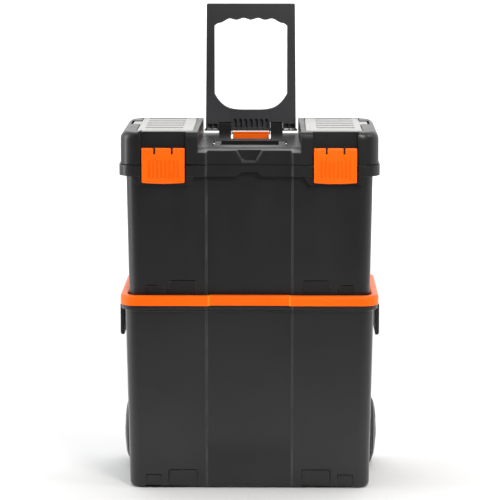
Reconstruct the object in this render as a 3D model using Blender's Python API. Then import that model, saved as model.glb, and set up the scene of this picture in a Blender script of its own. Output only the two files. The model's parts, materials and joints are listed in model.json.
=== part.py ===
"""Rolling tool box: a wheeled bin with a coloured rim, a lift-off tool box and a fold-down tow handle.

Metres, +Z up, the front faces -Y. The origin is at the centre of the footprint, on the ground.
Run with: blender --background --python part.py
"""

import math

import bmesh
import bpy
from mathutils import Matrix, Vector

# Driving dimensions: the stack of levels, from the ground up
FLOOR_THICKNESS = 0.004
BIN_TOP = 0.325
BOX_BOTTOM = 0.3246
FLANGE_HEIGHT = 0.019
PARTING = 0.569
LID_TOP = 0.626
TROUGH_FLOOR = 0.599
HANDLE_TOP = 0.8324

# Driving dimensions: outlines seen from above, all centred a little forward of the wheels' back edge
CENTRE_Y = -0.004
BIN_HALF = (0.2152, 0.1190)
BIN_FOOT_HALF = (0.2092, 0.1150)
BOX_HALF = (0.2123, 0.1175)
BOX_FOOT_HALF = (0.2084, 0.1142)
RIM_HALF = (0.2235, 0.1300)
FLANGE_HALF = (0.2240, 0.1310)
LID_HALF = (0.2220, 0.1295)
WALL = 0.0028
CORNER = 0.022
LID_CORNER = 0.032
GAP = 0.0004
PANEL_OUTER = 0.0780
PANEL_INNER = 0.0715
PANEL_DEPTH = 0.005

# Wheels and axle
WHEEL_RADIUS = 0.065
WHEEL_Y = 0.071
WHEEL_INNER_X = 0.187
TYRE_OUTER_X = 0.2185
DOME_X = 0.228
AXLE_RADIUS = 0.005
WELL_X = 0.181
WELL_RADIUS = WHEEL_RADIUS + 0.006

# Tow handle, its rod and the channel for its release paddle
ROD_Y = 0.112
ROD_Z = 0.606
ROD_RADIUS = 0.0028
HANDLE_HALF_TOP = 0.0790
HANDLE_HALF_FOOT = 0.0811
HANDLE_THICKNESS = 0.012
CHANNEL_HALF = 0.0358
PADDLE_HALF = 0.0325
CHANNEL_START_Y = 0.020
POST_OUTER = 0.057
TROUGH_HALF_FRONT = 0.0885
TROUGH_HALF_BACK = 0.0850

# Latches
LATCH_X = 0.147
LATCH_HALF = 0.0366
LATCH_FRONT_Y = -0.136
LATCH_BOTTOM = 0.5374
LATCH_AXIS = (-0.1318, 0.5945)
LATCH_BARREL = 0.0042
LATCH_SLIT_X = 0.015

# Organiser wells and their covers
WELL_INNER = 0.101
WELL_OUTER = 0.1895
ORGANISER_FRONT = -0.1015
ORGANISER_BACK = 0.1160
ORGANISER_FLOOR = 0.584
COVER_AXIS = (0.0985, 0.6235)
COVER_OUTER = 0.1935
COVER_FRONT = -0.1060
COVER_BACK = 0.1205
COVER_THICKNESS = 0.004
DIVIDER_Y = (-0.038, 0.011, 0.045, 0.088)
TAB_Y = (0.0160, 0.0680)

# Lid hinge at the back, and the carrying handle folded into the trough
LID_AXIS = (0.1317, 0.5695)
LID_EAR_RADIUS = 0.0043
LID_HINGE_X = 0.140
CARRY_AXIS = (-0.020, 0.5925)
CARRY_HALF = 0.0620
CARRY_FRONT = -0.088
CARRY_THICKNESS = 0.0115
POCKET_FLOOR = 0.5855

COLOURS = {
    "black_plastic": ((0.028, 0.028, 0.030), 0.42, 0.0),
    "orange_plastic": ((0.95, 0.17, 0.012), 0.38, 0.0),
    "clear_plastic": ((0.78, 0.80, 0.82), 0.20, 0.0),
    "tyre_rubber": ((0.018, 0.018, 0.019), 0.75, 0.0),
    "bright_steel": ((0.62, 0.62, 0.63), 0.28, 1.0),
    "grey_plastic": ((0.16, 0.16, 0.17), 0.50, 0.0),
}


# ---------------------------------------------------------------- shape helpers

def material(name):
    """The named finish, made once."""
    found = bpy.data.materials.get(name)
    if found:
        return found
    colour, roughness, metallic = COLOURS[name]
    made = bpy.data.materials.new(name)
    made.use_nodes = True
    shader = made.node_tree.nodes["Principled BSDF"]
    shader.inputs["Base Color"].default_value = (*colour, 1.0)
    shader.inputs["Roughness"].default_value = roughness
    shader.inputs["Metallic"].default_value = metallic
    made.diffuse_color = (*colour, 1.0)
    return made


def outline(half_x, half_y, radius, panel=0.0, steps=4):
    """A rounded rectangle around CENTRE_Y, counterclockwise, with a recessed panel in its front."""
    front = CENTRE_Y - half_y
    back = CENTRE_Y + half_y
    corners = (
        (-half_x + radius, front + radius, 180),
        (half_x - radius, front + radius, 270),
        (half_x - radius, back - radius, 0),
        (-half_x + radius, back - radius, 90),
    )
    points = []
    for index, (x, y, start) in enumerate(corners):
        for step in range(steps + 1):
            angle = math.radians(start + 90 * step / steps)
            points.append((x + radius * math.cos(angle), y + radius * math.sin(angle)))
        if index == 0:
            points += [(-PANEL_OUTER, front), (-PANEL_INNER, front + panel)]
            points += [(PANEL_INNER, front + panel), (PANEL_OUTER, front)]
    return points


def mesh_object(name, bm, finish=None):
    """An object from a bmesh built in world coordinates; one with no finish is a cutter or helper."""
    mesh = bpy.data.meshes.new(name)
    bm.to_mesh(mesh)
    bm.free()
    obj = bpy.data.objects.new(name, mesh)
    bpy.context.scene.collection.objects.link(obj)
    if finish:
        mesh.materials.append(material(finish))
        mesh.shade_smooth()
        mesh.set_sharp_from_angle(angle=math.radians(32))
    else:
        obj.hide_render = True
        obj.display_type = "WIRE"
    return obj


def loft(name, rings, finish=None, closed=False):
    """A skin through rings of (x, y, z) points; capped at both ends, or joined end to start when closed."""
    bm = bmesh.new()
    rows = [[bm.verts.new(point) for point in ring] for ring in rings]
    count = len(rows[0])
    pairs = list(zip(rows, rows[1:]))
    if closed:
        pairs.append((rows[-1], rows[0]))
    for low, high in pairs:
        for i in range(count):
            j = (i + 1) % count
            bm.faces.new((low[i], low[j], high[j], high[i]))
    if not closed:
        bm.faces.new(list(reversed(rows[0])))
        bm.faces.new(rows[-1])
    return mesh_object(name, bm, finish)


def ring_at(half, inset, z, radius=CORNER, panel=0.0):
    """One ring of a loft: the outline for a (half_x, half_y) pair, moved in by inset."""
    points = outline(half[0] - inset, half[1] - inset, max(radius - inset, 0.003), panel)
    return [(x, y, z) for x, y in points]


def between(low, high, share):
    """The (half_x, half_y) pair a share of the way from low to high."""
    return tuple(a + (b - a) * share for a, b in zip(low, high))


def prism(name, points, axis, start, end, finish=None):
    """A 2D outline extruded along an axis: points are (y, z) for X, (x, z) for Y and (x, y) for Z."""
    place = {
        "X": lambda a, b, depth: (depth, a, b),
        "Y": lambda a, b, depth: (a, depth, b),
        "Z": lambda a, b, depth: (a, b, depth),
    }[axis]
    area = sum(a[0] * b[1] - b[0] * a[1] for a, b in zip(points, points[1:] + points[:1]))
    ordered = list(points) if (area > 0) == (axis != "Y") else list(reversed(points))
    rings = [[place(a, b, depth) for a, b in ordered] for depth in (start, end)]
    return loft(name, rings, finish)


def box(name, low, high, finish=None):
    """An axis-aligned block."""
    flat = [(low[0], low[1]), (high[0], low[1]), (high[0], high[1]), (low[0], high[1])]
    return prism(name, flat, "Z", low[2], high[2], finish)


def span(side, near, far):
    """The X range from near to far on one side of the middle, lowest first."""
    return sorted((side * near, side * far))


def disc_points(centre, radius, sides=24, start=0.0):
    """Points round a circle, for a prism."""
    turns = [math.radians(start) + 2 * math.pi * i / sides for i in range(sides)]
    return [(centre[0] + radius * math.cos(t), centre[1] + radius * math.sin(t)) for t in turns]


def rod(name, centre, radius, start, end, finish=None, sides=24):
    """A round bar along X, centred on a (y, z) point."""
    return prism(name, disc_points(centre, radius, sides), "X", start, end, finish)


def turned(name, profile, centre, side, finish=None, hollow=False, sides=40):
    """(x, radius) points turned about an X axis; side is +1 for right and -1 for left."""
    rings = [[(side * x, y, z) for y, z in disc_points(centre, radius, sides)] for x, radius in profile]
    if side < 0:
        rings = [list(reversed(ring)) for ring in rings]
    return loft(name, rings, finish, closed=hollow)


def boolean(obj, other, operation="DIFFERENCE"):
    """Adds a Boolean with a hidden helper."""
    change = obj.modifiers.new(operation.lower(), "BOOLEAN")
    change.operation = operation
    change.object = other
    return obj


def cut_box(obj, name, low, high):
    return boolean(obj, box("cut_" + name, low, high))


def add_box(obj, name, low, high):
    return boolean(obj, box("add_" + name, low, high), "UNION")


def hang_on(pivot, *pieces):
    """Puts pieces built in place under an empty that sits on their joint's axis."""
    for piece in pieces:
        shift = Matrix.Translation(-pivot.location)
        piece.data.transform(shift)
        piece.parent = pivot


def pivot_at(name, point):
    """An empty on a joint's axis, in world metres."""
    empty = bpy.data.objects.new(name, None)
    bpy.context.scene.collection.objects.link(empty)
    empty.location = Vector(point)
    empty.empty_display_size = 0.03
    return empty


# ---------------------------------------------------------------- lower bin and wheels

def bin_half(z):
    return between(BIN_FOOT_HALF, BIN_HALF, z / BIN_TOP)


def panel_fade(z):
    """The front panel's recess, which runs out towards the foot of the bin."""
    share = min(max((z - 0.015) / 0.075, 0.0), 1.0)
    return PANEL_DEPTH * share * share * (3 - 2 * share)


def wheel_well(name, side, grow):
    """The space for a wheel: an arch in the bin's back corner, open below, behind and at the side."""
    radius = WELL_RADIUS + grow
    arch = [(WHEEL_Y + radius * math.cos(a), WHEEL_RADIUS + radius * math.sin(a))
            for a in (math.radians(180 - 90 * i / 6) for i in range(7))]
    arch += [(CENTRE_Y + 0.16, WHEEL_RADIUS + radius), (CENTRE_Y + 0.16, -0.01)]
    arch += [(WHEEL_Y - radius, -0.01)]
    start, end = sorted((side * (WELL_X - grow), side * 0.26))
    return prism(name, arch, "X", start, end)


def make_lower_bin():
    """A tapered tub with a recessed front panel, wheel wells, an axle channel and a stacking flange."""
    foot = ((0.0, 0.0085), (0.0012, 0.0048), (0.0040, 0.0018), (0.0085, 0.0))
    rings = [ring_at(bin_half(z), inset, z) for z, inset in foot]
    rings += [ring_at(bin_half(z), 0, z, panel=panel_fade(z)) for z in (0.035, 0.055, 0.075, 0.1, 0.318)]
    rings += [ring_at(RIM_HALF, 0.0018, z, radius=0.030, panel=PANEL_DEPTH) for z in (0.3182, BIN_TOP)]
    tub = loft("lower_bin", rings, "black_plastic")

    levels = ((FLOOR_THICKNESS, 0.009), (0.036, 0.0075), (0.040, WALL), (0.1, WALL), (0.3212, WALL))
    inner = [ring_at(bin_half(z), inset, z, panel=panel_fade(z)) for z, inset in levels]
    inner += [ring_at(RIM_HALF, 0.0085, z, radius=0.028, panel=PANEL_DEPTH) for z in (0.3214, 0.34)]
    cavity = loft("cut_bin_cavity", inner)
    for side, label in ((-1, "left"), (1, "right")):
        boolean(cavity, wheel_well("cut_cavity_well_" + label, side, 0.003))
    cut_box(cavity, "cavity_channel", (-WELL_X, WHEEL_Y - 0.018, -0.01), (WELL_X, WHEEL_Y + 0.018, 0.083))
    boolean(tub, cavity)
    for side, label in ((-1, "left"), (1, "right")):
        boolean(tub, wheel_well("cut_well_" + label, side, 0.0))
    cut_box(tub, "axle_channel", (-0.166, WHEEL_Y - 0.015, -0.01), (0.166, WHEEL_Y + 0.015, 0.080))
    boolean(tub, rod("cut_axle_bore", (WHEEL_Y, WHEEL_RADIUS), AXLE_RADIUS + 0.0004, -0.2, 0.2))
    for side in (-1, 1):
        for index, (near, far, top) in enumerate(((0.092, 0.140, 0.031), (0.1545, 0.1795, 0.022))):
            low, high = span(side, near, far)
            cut_box(tub, f"foot_pocket_{index}_{side}", (low, -0.140, -0.01), (high, -0.1145, top))
    return tub


def make_orange_rim():
    """The coloured collar on the bin's flange; the upper box stands on its inner ledge."""
    profile = (
        (0.0, 0.3254), (0.0, 0.3388), (0.0018, 0.3414), (0.0052, 0.3428), (0.0115, 0.3424), (0.0135, 0.3408),
        (0.0135, 0.3243), (0.0250, 0.3243), (0.0250, 0.3216), (0.0089, 0.3216), (0.0089, 0.3254),
    )
    rings = [ring_at(RIM_HALF, inset, z, radius=0.030, panel=PANEL_DEPTH) for inset, z in profile]
    return loft("orange_rim", rings, "orange_plastic", closed=True)


def make_side_grip(side, label):
    """A lifting grip that hangs under the bin's flange, with room for fingers behind it."""
    outer, thick = 0.2268, 0.0065
    profile = [
        (0.2163, 0.3177), (0.2163, 0.3130), (outer - thick, 0.3130), (outer - thick - 0.0004, 0.2620),
        (outer - 0.0015, 0.2620), (outer, 0.2655), (outer, 0.3150), (outer - 0.0020, 0.3177),
    ]
    section = [(side * x, z) for x, z in profile]
    return prism("side_grip_" + label, section, "Y", -0.060, 0.060, "black_plastic")


def make_wheel(side, label):
    """Tyre, hub, domed cover, spacer: everything on one end of the axle."""
    centre = (WHEEL_Y, WHEEL_RADIUS)
    tyre = turned("wheel_tyre_" + label, (
        (WHEEL_INNER_X, 0.050), (WHEEL_INNER_X, 0.0615), (0.1905, WHEEL_RADIUS), (0.2140, WHEEL_RADIUS),
        (TYRE_OUTER_X, 0.0600), (0.2200, 0.0545), (0.2200, 0.050),
    ), centre, side, "tyre_rubber", hollow=True)
    hub = turned("wheel_hub_" + label, (
        (0.1860, 0.0054), (0.1860, 0.0150), (0.1900, 0.0150), (0.1900, 0.0497), (0.2200, 0.0497),
        (0.2200, 0.0440), (0.2120, 0.0400), (0.2120, 0.0150), (0.2190, 0.0120), (0.2190, 0.0054),
    ), centre, side, "grey_plastic", hollow=True)
    cover = turned("wheel_cover_" + label, (
        (0.2204, 0.0535), (0.2228, 0.0500), (0.2252, 0.0420), (0.2270, 0.0300), (DOME_X, 0.0140),
    ), centre, side, "black_plastic")
    turned("axle_spacer_" + label, (
        (0.1815, 0.0054), (0.1815, 0.0110), (0.1856, 0.0110), (0.1856, 0.0054),
    ), centre, side, "grey_plastic", hollow=True, sides=24)
    hang_on(pivot_at("wheel_axis_" + label, (side * 0.2, WHEEL_Y, WHEEL_RADIUS)), tyre, hub, cover)


# ---------------------------------------------------------------- upper tool box

def box_half(z):
    return between(BOX_FOOT_HALF, BOX_HALF, (z - BOX_BOTTOM) / (0.5665 - BOX_BOTTOM))


def make_upper_body():
    """The tool box's tub: tapered walls, a rolled flange at the mouth, latch lugs and base pockets."""
    z_plate = PARTING - 0.003
    z_skirt = PARTING - FLANGE_HEIGHT
    walls = ((BOX_BOTTOM, 0.003), (BOX_BOTTOM + 0.003, 0.0), (z_plate, 0.0))
    flange = (
        (z_plate, 0.0026), (z_skirt, 0.0026), (z_skirt, 0.0), (PARTING - 0.0015, 0.0), (PARTING, 0.0015),
    )
    inside = ((PARTING, WALL), (0.378, WALL), (0.372, 0.0075), (BOX_BOTTOM + 0.004, 0.008))
    rings = [ring_at(box_half(z), inset, z, panel=PANEL_DEPTH) for z, inset in walls]
    rings += [ring_at(FLANGE_HALF, inset, z, LID_CORNER, PANEL_DEPTH) for z, inset in flange]
    rings += [ring_at(box_half(z), inset, z, panel=PANEL_DEPTH) for z, inset in inside]
    tub = loft("upper_body", rings, "black_plastic")

    for side, label in ((-1, "left"), (1, "right")):
        low, high = span(side, 0.0945, 0.2005)
        lug = [
            (low, 0.556), (low, 0.5410), (low + 0.005, 0.5358),
            (high - 0.005, 0.5358), (high, 0.5410), (high, 0.556),
        ]
        boolean(tub, prism("add_lug_" + label, lug, "Y", -0.1338, -0.1195), "UNION")
        centre = side * LATCH_X
        cut_box(tub, "latch_seat_" + label, (centre - 0.0386, -0.150, 0.50), (centre + 0.0386, -0.1283, 0.60))
        for index, (near, far, top) in enumerate(((0.092, 0.140, 0.366), (0.1545, 0.1795, 0.357))):
            start, end = span(side, near, far)
            cut_box(tub, f"base_pocket_{index}_{label}", (start, -0.140, 0.30), (end, -0.1143, top))
        for x in (side * LID_HINGE_X - 0.0145, side * LID_HINGE_X + 0.0145):
            ear = [(0.1215, 0.5652), (LID_AXIS[0], 0.5652), (LID_AXIS[0], 0.5686), (0.1215, 0.5686)]
            boolean(tub, prism(f"add_ear_base_{x:.3f}", ear, "X", x - 0.005, x + 0.005), "UNION")
            boolean(tub, rod(f"add_ear_{x:.3f}", LID_AXIS, LID_EAR_RADIUS, x - 0.005, x + 0.005), "UNION")
        x = side * LID_HINGE_X
        boolean(tub, rod("cut_ear_bore_" + label, LID_AXIS, 0.0019, x - 0.03, x + 0.03, sides=16))
        for y in (-0.050, 0.042):
            start, end = span(side, 0.1995, 0.2092)
            add_box(tub, f"tray_ledge_{label}_{y}", (start, y, 0.474), (end, y + 0.016, 0.4835))
    arch = [(-0.021, 0.545), (-0.0135, 0.5577), (0.0135, 0.5577), (0.021, 0.545)]
    boolean(tub, prism("cut_arch", arch, "Y", -0.140, -0.1262))
    return tub


def make_tool_tray():
    """A lift-out tray on the ledges inside the box, with a hand slot in its middle wall."""
    outside = ((0.4842, 0.004), (0.488, 0.002), (0.5330, 0.0))
    inside = ((0.5330, 0.0022), (0.4900, 0.0045), (0.4868, 0.0065))
    rings = [ring_at((0.2060, 0.1075), inset, z, radius=0.016) for z, inset in outside + inside]
    tray = loft("tool_tray", rings, "grey_plastic")
    wall = [
        (-0.2045, 0.485), (0.2045, 0.485), (0.2045, 0.531), (0.110, 0.531), (0.080, 0.572),
        (-0.080, 0.572), (-0.110, 0.531), (-0.2045, 0.531),
    ]
    boolean(tray, prism("add_tray_wall", wall, "Y", CENTRE_Y - 0.0022, CENTRE_Y + 0.0022), "UNION")
    slot = [(-0.055, 0.545), (0.055, 0.545), (0.050, 0.563), (-0.050, 0.563)]
    return boolean(tray, prism("cut_tray_slot", slot, "Y", -0.03, 0.03))


# ---------------------------------------------------------------- lid and what is on it

def lid_shell():
    """The lid's rounded block, hollowed from below, with the trough cut along its middle."""
    edge = (
        (PARTING + GAP, 0.0, 0.0), (0.6120, 0.0, 0.0), (0.6172, 0.0014, 0.0),
        (0.6214, 0.0042, 0.0006), (0.6243, 0.0080, 0.0018), (LID_TOP, 0.0125, 0.0040),
    )
    rings = []
    for z, side_in, front_in in edge:
        half = (LID_HALF[0] - side_in, LID_HALF[1] - front_in)
        rings.append(ring_at(half, 0, z, LID_CORNER - side_in / 2, PANEL_DEPTH))
    lid = loft("lid", rings, "black_plastic")
    hollow = [ring_at((0.2186, 0.1200), 0, z, radius=0.026) for z in (0.560, 0.581)]
    boolean(lid, loft("cut_lid_hollow", hollow))
    front, back = TROUGH_HALF_FRONT, TROUGH_HALF_BACK
    trough = [(-front, -0.15), (front, -0.15), (back, 0.14), (-back, 0.14)]
    boolean(lid, prism("cut_trough", trough, "Z", TROUGH_FLOOR, 0.65))
    lip = [(-0.15, 0.5797), (-0.1205, TROUGH_FLOOR), (-0.1205, 0.61), (-0.15, 0.61)]
    boolean(lid, prism("cut_front_lip", lip, "X", -front + 0.0005, front - 0.0005))
    return lid


def cut_organiser(lid, side, label):
    """An organiser well, the seat and bores of its cover, and the pocket for the cover's finger tab."""
    low, high = span(side, WELL_INNER, WELL_OUTER)
    cut_box(lid, "organiser_" + label, (low, ORGANISER_FRONT, ORGANISER_FLOOR), (high, ORGANISER_BACK, 0.64))
    front, back = COVER_FRONT - 0.001, COVER_BACK + 0.001
    low, high = span(side, COVER_AXIS[0] - 0.0030, COVER_OUTER + 0.0010)
    cut_box(lid, "cover_seat_" + label, (low, front, 0.6208), (high, back, 0.64))
    low, high = span(side, COVER_OUTER - 0.001, 0.2085)
    cut_box(lid, "tab_pocket_" + label, (low, TAB_Y[0] - 0.0035, 0.6165), (high, TAB_Y[1] + 0.0035, 0.64))
    pin = disc_points((side * COVER_AXIS[0], COVER_AXIS[1]), 0.0016, 16)
    boolean(lid, prism("cut_cover_pin_" + label, pin, "Y", front - 0.0025, back + 0.0025))


def cut_latch_seat(lid, side, label):
    """The recess a latch hangs in, with the two ribs that carry its pin."""
    centre = side * LATCH_X
    cut_box(lid, "latch_seat_" + label, (centre - 0.0386, -0.15, 0.55), (centre + 0.0386, -0.1255, 0.64))
    for x in (centre - LATCH_SLIT_X, centre + LATCH_SLIT_X):
        add_box(lid, f"latch_rib_{x:.3f}", (x - 0.0011, -0.1346, 0.5905), (x + 0.0011, -0.1240, 0.6005))
    bore = rod("cut_latch_bore_" + label, LATCH_AXIS, 0.0016, centre - 0.036, centre + 0.036, sides=16)
    boolean(lid, bore)


def add_rod_post(lid, side, label):
    """The post that carries the tow handle's rod on one side of the release channel."""
    low, high = span(side, CHANNEL_HALF, POST_OUTER)
    post = [
        (ROD_Y - 0.0075, 0.595), (ROD_Y - 0.0045, 0.6180), (ROD_Y + 0.0045, 0.6180), (ROD_Y + 0.0085, 0.595),
    ]
    boolean(lid, prism("add_rod_post_" + label, post, "X", low, high), "UNION")


def add_lid_ear(lid, side, label):
    """The lid's hinge ear: a barrel behind the back wall, on a short arm."""
    x = side * LID_HINGE_X
    arm = [(0.1200, 0.5702), (LID_AXIS[0], 0.5702), (LID_AXIS[0], 0.5736), (0.1200, 0.5790)]
    boolean(lid, prism("add_lid_ear_arm_" + label, arm, "X", x - 0.0085, x + 0.0085), "UNION")
    boolean(lid, rod("add_lid_ear_" + label, LID_AXIS, LID_EAR_RADIUS, x - 0.0085, x + 0.0085), "UNION")
    boolean(lid, rod("cut_lid_ear_" + label, LID_AXIS, 0.0019, x - 0.02, x + 0.02, sides=16))


def make_lid():
    """The hinged lid: an open trough in the middle, an organiser on each side, latch seats in front."""
    lid = lid_shell()
    cut_box(lid, "channel", (-CHANNEL_HALF, CHANNEL_START_Y, 0.5842), (CHANNEL_HALF, 0.14, 0.61))
    cut_box(lid, "carry_pocket", (-0.064, -0.0905, POCKET_FLOOR), (0.064, -0.0135, 0.61))
    boolean(lid, rod("cut_carry_bore", CARRY_AXIS, 0.0031, -0.0690, 0.0690, sides=16))
    notch = [(-0.0253, 0.5945), (0.0253, 0.5945), (0.0122, 0.5745), (-0.0122, 0.5745)]
    boolean(lid, prism("cut_front_notch", notch, "Y", -0.14, -0.1225))
    for side, label in ((-1, "left"), (1, "right")):
        for name, (near, far), (start, end), top in (
            ("floor", (0.038, 0.086), (-0.009, 0.119), 0.5962),
            ("front", (0.030, 0.086), (-0.1215, -0.095), 0.5962),
            ("flank", (0.0915, 0.0960), (-0.1215, 0.119), 0.6180),
            ("edge", (0.1975, 0.2140), (-0.100, 0.092), 0.6140),
        ):
            low, high = span(side, near, far)
            cut_box(lid, f"under_{name}_{label}", (low, start, 0.575), (high, end, top))
        cut_organiser(lid, side, label)
        cut_latch_seat(lid, side, label)
        add_rod_post(lid, side, label)
        add_lid_ear(lid, side, label)
    boolean(lid, rod("cut_rod_bore", (ROD_Y, ROD_Z), ROD_RADIUS + 0.0003, -0.0575, 0.0575))
    return lid


def make_latch(side, label):
    """An orange draw-over latch, hung on its own pin between the lid's two ribs."""
    centre = side * LATCH_X
    y, z = LATCH_AXIS
    turns = [math.radians(-30 + 21 * i) for i in range(11)]
    barrel = [(y + LATCH_BARREL * math.cos(a), z + LATCH_BARREL * math.sin(a)) for a in turns]
    profile = barrel + [
        (LATCH_FRONT_Y, LATCH_BOTTOM + 0.003), (LATCH_FRONT_Y + 0.0012, LATCH_BOTTOM),
        (-0.1296, LATCH_BOTTOM),
        (-0.1294, LATCH_BOTTOM + 0.0035), (-0.1326, LATCH_BOTTOM + 0.0055), (-0.1326, z - LATCH_BARREL),
    ]
    latch = prism("latch_" + label, profile, "X", centre - LATCH_HALF, centre + LATCH_HALF, "orange_plastic")
    for index, x in enumerate((centre - LATCH_SLIT_X, centre + LATCH_SLIT_X)):
        low, high = (x - 0.0016, -0.15, z - 0.0062), (x + 0.0016, -0.12, 0.61)
        cut_box(latch, f"latch_slit_{label}_{index}", low, high)
    boolean(latch, rod("cut_latch_pin_" + label, LATCH_AXIS, 0.0016, centre - 0.05, centre + 0.05, sides=16))
    rod("latch_pin_" + label, LATCH_AXIS, 0.0012, centre - 0.0356, centre + 0.0356, "bright_steel", sides=12)
    hang_on(pivot_at("latch_axis_" + label, (centre, y, z)), latch)


def make_organiser_cover(side, label):
    """A clear cover with moulded pegs on its inner edge and a finger tab on its outer edge."""
    x, z = COVER_AXIS
    half = COVER_THICKNESS / 2
    turns = [math.radians(90 + 30 * i) for i in range(7)]
    edge = [(x + half * math.cos(a), z + half * math.sin(a)) for a in turns]
    section = edge + [
        (COVER_OUTER, z - half), (COVER_OUTER, z + half * 0.6), (COVER_OUTER - 0.0008, z + half),
    ]
    points = [(side * px, pz) for px, pz in section]
    cover = prism("organiser_cover_" + label, points, "Y", COVER_FRONT, COVER_BACK, "clear_plastic")
    low, high = span(side, COVER_OUTER - 0.003, 0.2045)
    add_box(cover, "cover_tab_" + label, (low, TAB_Y[0], z - 0.0018), (high, TAB_Y[1], z + 0.0014))
    pegs = disc_points((side * x, z), 0.0012, 12)
    pegs = prism("add_cover_pegs_" + label, pegs, "Y", COVER_FRONT - 0.003, COVER_BACK + 0.003)
    boolean(cover, pegs, "UNION")
    hang_on(pivot_at("cover_axis_" + label, (side * x, 0.0, z)), cover)
    return cover


def make_dividers(side, label):
    """The loose partitions of one organiser."""
    low, high = span(side, WELL_INNER + 0.0005, WELL_OUTER - 0.0005)
    foot = ORGANISER_FLOOR + GAP
    for number, y in enumerate(DIVIDER_Y, 1):
        box(f"divider_{label}_{number}", (low, y - 0.0008, foot), (high, y + 0.0008, 0.6190), "grey_plastic")


def window_points():
    """The tow handle's opening: a wavy finger grip along its top and a deep curve along its bottom."""
    half, top, bottom, wave = 0.0650, 0.8050, 0.6420, 0.0256
    points = []
    for i in range(33):
        x = half * (i / 16 - 1)
        points.append((x, top - 0.014 * abs(x / half) ** 5 - 0.0016 * math.cos(2 * math.pi * x / wave)))
    for i in range(17):
        x = half * (1 - i / 8)
        points.append((x, bottom + 0.0290 * abs(x / half) ** 4.2))
    return points


def make_tow_handle():
    """The tow handle: a flat plate with a wide window, a ribbed foot, and cells that let the rod through."""
    front, back = ROD_Y - HANDLE_THICKNESS / 2, ROD_Y + HANDLE_THICKNESS / 2
    foot = 0.6040
    plate = [
        (-HANDLE_HALF_FOOT, foot), (HANDLE_HALF_FOOT, foot), (HANDLE_HALF_FOOT, 0.6190),
        (HANDLE_HALF_TOP, HANDLE_TOP - 0.0015), (HANDLE_HALF_TOP - 0.0015, HANDLE_TOP),
        (-HANDLE_HALF_TOP + 0.0015, HANDLE_TOP), (-HANDLE_HALF_TOP, HANDLE_TOP - 0.0015),
        (-HANDLE_HALF_FOOT, 0.6190),
    ]
    handle = prism("tow_handle", plate, "Y", front, back, "black_plastic")
    boolean(handle, prism("cut_window", window_points(), "Y", front - 0.01, back + 0.01))
    for side, label in ((-1, "left"), (1, "right")):
        low, high = span(side, CHANNEL_HALF - 0.0005, POST_OUTER + 0.0005)
        cut_box(handle, "post_slot_" + label, (low, front - 0.01, 0.59), (high, back + 0.01, 0.6197))
        for near, far in ((0.0600, 0.0684), (0.0702, 0.0786)):
            low, high = span(side, near, far)
            cell = ((low, front - 0.01, 0.6058), (high, back - 0.0025, 0.6165))
            cut_box(handle, f"foot_cell_{label}_{near}", *cell)
        low, high = span(side, PADDLE_HALF + 0.0006, CHANNEL_HALF - 0.0010)
        add_box(handle, "paddle_ear_" + label, (low, ROD_Y - 0.0035, 0.5968), (high, ROD_Y + 0.0035, 0.6045))
    for number in range(-3, 4):
        x = number * 0.0101
        flute = ((x - 0.0034, front - 0.01, 0.6075), (x + 0.0034, front + 0.0030, 0.6235))
        cut_box(handle, f"foot_flute_{number}", *flute)
    boolean(handle, rod("cut_handle_bore", (ROD_Y, ROD_Z), ROD_RADIUS + 0.0003, -0.09, 0.09))
    boolean(handle, rod("cut_paddle_bore", (ROD_Y, 0.5992), 0.0015, -0.04, 0.04, sides=12))
    rod("tow_handle_rod", (ROD_Y, ROD_Z), ROD_RADIUS, -0.0838, 0.0838, "bright_steel")

    paddle = [
        (ROD_Y - 0.0030, 0.5992), (ROD_Y - 0.0021, 0.6013), (ROD_Y, 0.6022), (ROD_Y + 0.0021, 0.6013),
        (ROD_Y + 0.0030, 0.5992), (ROD_Y + 0.0022, 0.5890), (ROD_Y - 0.0010, 0.5878),
        (ROD_Y - 0.0034, 0.5890),
    ]
    release = prism("release_paddle", paddle, "X", -PADDLE_HALF, PADDLE_HALF, "orange_plastic")
    boolean(release, rod("add_paddle_pegs", (ROD_Y, 0.5992), 0.0011, -0.0346, 0.0346, sides=12), "UNION")
    hang_on(pivot_at("tow_handle_axis", (0.0, ROD_Y, ROD_Z)), handle)
    hang_on(pivot_at("release_paddle_axis", (0.0, ROD_Y, 0.5992)), release)


def make_carry_handle():
    """The carrying handle, folded flat into its pocket in the trough's floor."""
    y, z = CARRY_AXIS
    low, high = z - CARRY_THICKNESS / 2, z + CARRY_THICKNESS / 2
    frame = [(-CARRY_HALF, CARRY_FRONT), (CARRY_HALF, CARRY_FRONT), (CARRY_HALF, y), (-CARRY_HALF, y)]
    handle = prism("carry_handle", frame, "Z", low, high, "black_plastic")
    for side, label in ((-1, "left"), (1, "right")):
        start, end = span(side, 0.0500, CARRY_HALF)
        knuckle = rod("add_carry_knuckle_" + label, CARRY_AXIS, CARRY_THICKNESS / 2, start, end)
        boolean(handle, knuckle, "UNION")
        start, end = span(side, 0.0505, 0.0687)
        rod("carry_handle_pin_" + label, CARRY_AXIS, 0.0025, start, end, "bright_steel", sides=16)
    cut_box(handle, "carry_window", (-0.0500, CARRY_FRONT + 0.0160, 0.58), (0.0500, 0.01, 0.61))
    boolean(handle, rod("cut_carry_pin", CARRY_AXIS, 0.0029, -0.07, 0.07, sides=16))
    hang_on(pivot_at("carry_handle_axis", (0.0, y, z)), handle)


# ---------------------------------------------------------------- assembly

def clear_scene():
    for obj in list(bpy.data.objects):
        bpy.data.objects.remove(obj, do_unlink=True)


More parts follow.
